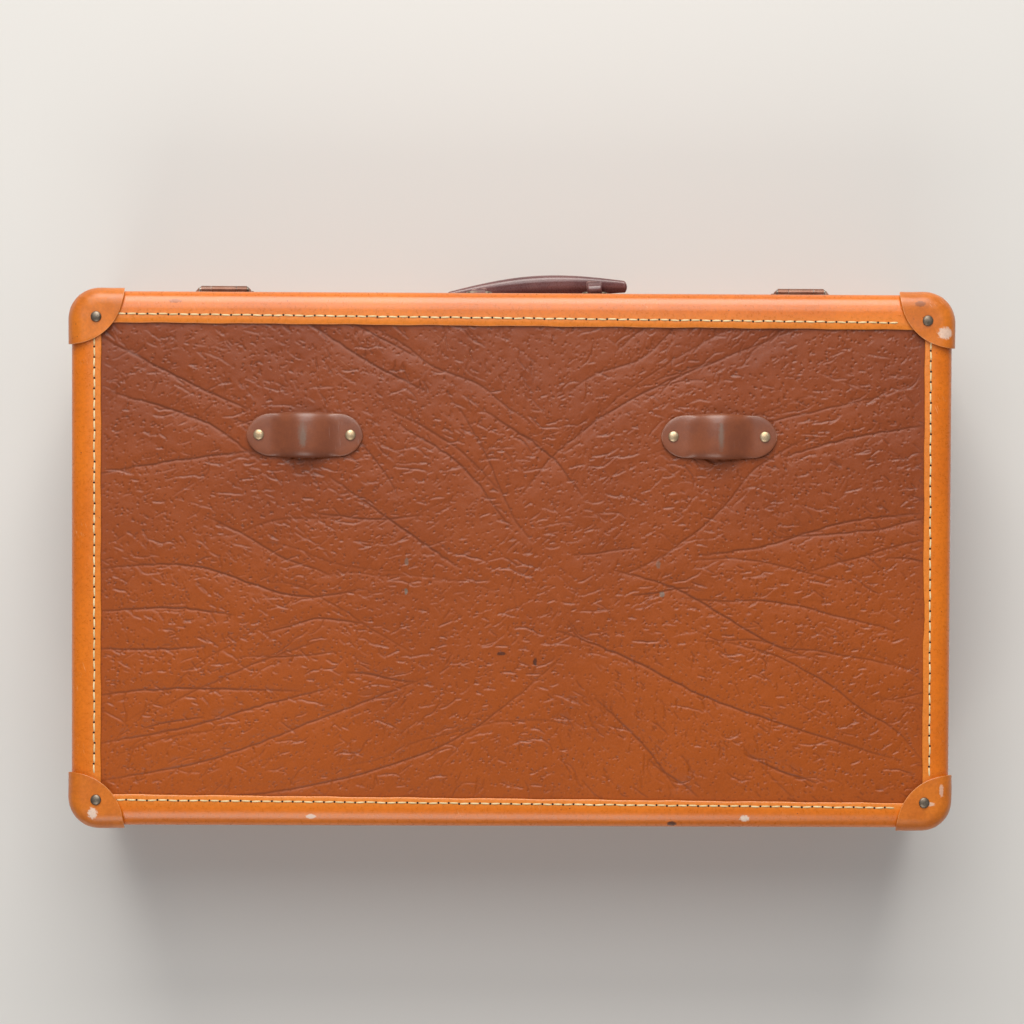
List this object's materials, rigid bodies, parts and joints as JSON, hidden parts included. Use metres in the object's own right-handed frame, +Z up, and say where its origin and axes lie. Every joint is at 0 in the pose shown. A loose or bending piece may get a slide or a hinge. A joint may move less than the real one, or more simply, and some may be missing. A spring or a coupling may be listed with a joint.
{
  "type": "cardboard suitcase",
  "caption": "Rectangular cardboard suitcase with a hinged lid, hasp locks, a swinging leather handle, fibre edge bindings, corner caps, strap loops on the lid and a folding stay inside.",
  "frame": {"origin": "middle of the footprint, on the surface that the case lies on", "axes": "+X along the case's length, towards the left of someone who looks at the lid with the handle at the top; +Y from the handle side to the hinge side; +Z up through the lid"},
  "size_m": [0.7, 0.4514, 0.1937],
  "materials": {
    "board": "embossed leather-look board, brown, worn",
    "fibre": "vulcanised fibre edge binding, orange-tan, satin",
    "cap": "formed vulcanised fibre corner cap, orange-tan, scuffed",
    "lining": "printed lining paper with a plain check",
    "collar": "paper-covered board",
    "strap_leather": "brown leather, scuffed at the crown",
    "grip_leather": "mauve-brown leather, worn pale on top",
    "lacquered_metal": "brown lacquered steel, worn at the edges",
    "steel": "dull steel",
    "brass": "aged brass"
  },
  "bodies": {
    "base": {"base_panel": "board", "base_band": "board", "base_binding": "fibre", "base_rim_binding": "fibre", "base_lining": "lining", "base_collar": "collar", "base_cap_front_left": "cap", "base_cap_front_right": "cap", "base_cap_back_left": "cap", "base_cap_back_right": "cap", "base_cap_rivet_front_left": "steel", "base_cap_rivet_front_right": "steel", "base_cap_rivet_back_left": "steel", "base_cap_rivet_back_right": "steel", "base_hinge_leaf_left": "lacquered_metal", "base_hinge_leaf_right": "lacquered_metal", "hinge_pin_left": "steel", "hinge_pin_right": "steel", "handle_bracket_left": "lacquered_metal", "handle_bracket_right": "lacquered_metal", "lock_case_left": "lacquered_metal", "lock_case_right": "lacquered_metal", "lock_spring_left": "steel", "lock_spring_right": "steel", "stay_foot_plate": "steel"},
    "lid": {"lid_panel": "board", "lid_band": "board", "lid_binding": "fibre", "lid_rim_binding": "fibre", "lid_lining": "lining", "lid_cap_front_left": "cap", "lid_cap_front_right": "cap", "lid_cap_back_left": "cap", "lid_cap_back_right": "cap", "lid_cap_rivet_front_left": "steel", "lid_cap_rivet_front_right": "steel", "lid_cap_rivet_back_left": "steel", "lid_cap_rivet_back_right": "steel", "strap_loop_left": "strap_leather", "strap_loop_right": "strap_leather", "strap_loop_left_rivet_left": "brass", "strap_loop_left_rivet_right": "brass", "strap_loop_right_rivet_left": "brass", "strap_loop_right_rivet_right": "brass", "lid_hinge_leaf_left": "lacquered_metal", "lid_hinge_leaf_right": "lacquered_metal", "hasp_plate_left": "lacquered_metal", "hasp_plate_right": "lacquered_metal", "hasp_pin_left": "steel", "hasp_pin_right": "steel", "stay_head_plate": "steel"},
    "handle": {"handle_grip": "grip_leather", "handle_ring_left": "steel", "handle_ring_right": "steel"},
    "left_hasp": {"hasp_left": "lacquered_metal"},
    "right_hasp": {"hasp_right": "lacquered_metal"},
    "left_button": {"lock_button_left": "lacquered_metal"},
    "right_button": {"lock_button_right": "lacquered_metal"},
    "lower_stay": {"stay_lower_bar": "steel"},
    "upper_stay": {"stay_upper_bar": "steel"}
  },
  "joints": [
    {"name": "lid_hinge", "type": "hinge", "parent": "base", "child": "lid", "pos_m": [0, 0.22313, 0.1226], "axis": [-1, 0, 0], "range_deg": [0, 100]},
    {"name": "handle_swing", "type": "hinge", "parent": "base", "child": "handle", "pos_m": [-0.02, -0.20457, 0.0876], "axis": [-1, 0, 0], "range_deg": [0, 130]},
    {"name": "left_hasp_swing", "type": "hinge", "parent": "lid", "child": "left_hasp", "pos_m": [0.23109, -0.20537, 0.1426], "axis": [-1, 0, 0], "range_deg": [0, 110]},
    {"name": "right_hasp_swing", "type": "hinge", "parent": "lid", "child": "right_hasp", "pos_m": [-0.23109, -0.20537, 0.1426], "axis": [-1, 0, 0], "range_deg": [0, 110]},
    {"name": "left_button_slide", "type": "slide", "parent": "base", "child": "left_button", "axis": [1, 0, 0], "range_m": [0, 0.006], "stiffness_N_per_m": 150, "springref_m": -0.004, "deforming": ["lock_spring_left"]},
    {"name": "right_button_slide", "type": "slide", "parent": "base", "child": "right_button", "axis": [-1, 0, 0], "range_m": [0, 0.006], "stiffness_N_per_m": 150, "springref_m": -0.004, "deforming": ["lock_spring_right"]},
    {"name": "stay_lower_fold", "type": "hinge", "parent": "base", "child": "lower_stay", "pos_m": [0.3389, 0.14763, 0.0377], "axis": [-1, 0, 0], "range_deg": [0, 101.7]},
    {"name": "stay_upper_fold", "type": "hinge", "parent": "lower_stay", "child": "upper_stay", "pos_m": [0.3371, -0.01035, 0.07618], "axis": [-1, 0, 0], "range_deg": [-102.6, 0]}
  ],
  "couplings": [
    {"joint": "stay_lower_fold", "follows": "lid_hinge", "ratio": 1.0165},
    {"joint": "stay_upper_fold", "follows": "lid_hinge", "ratio": -1.0253}
  ]
}
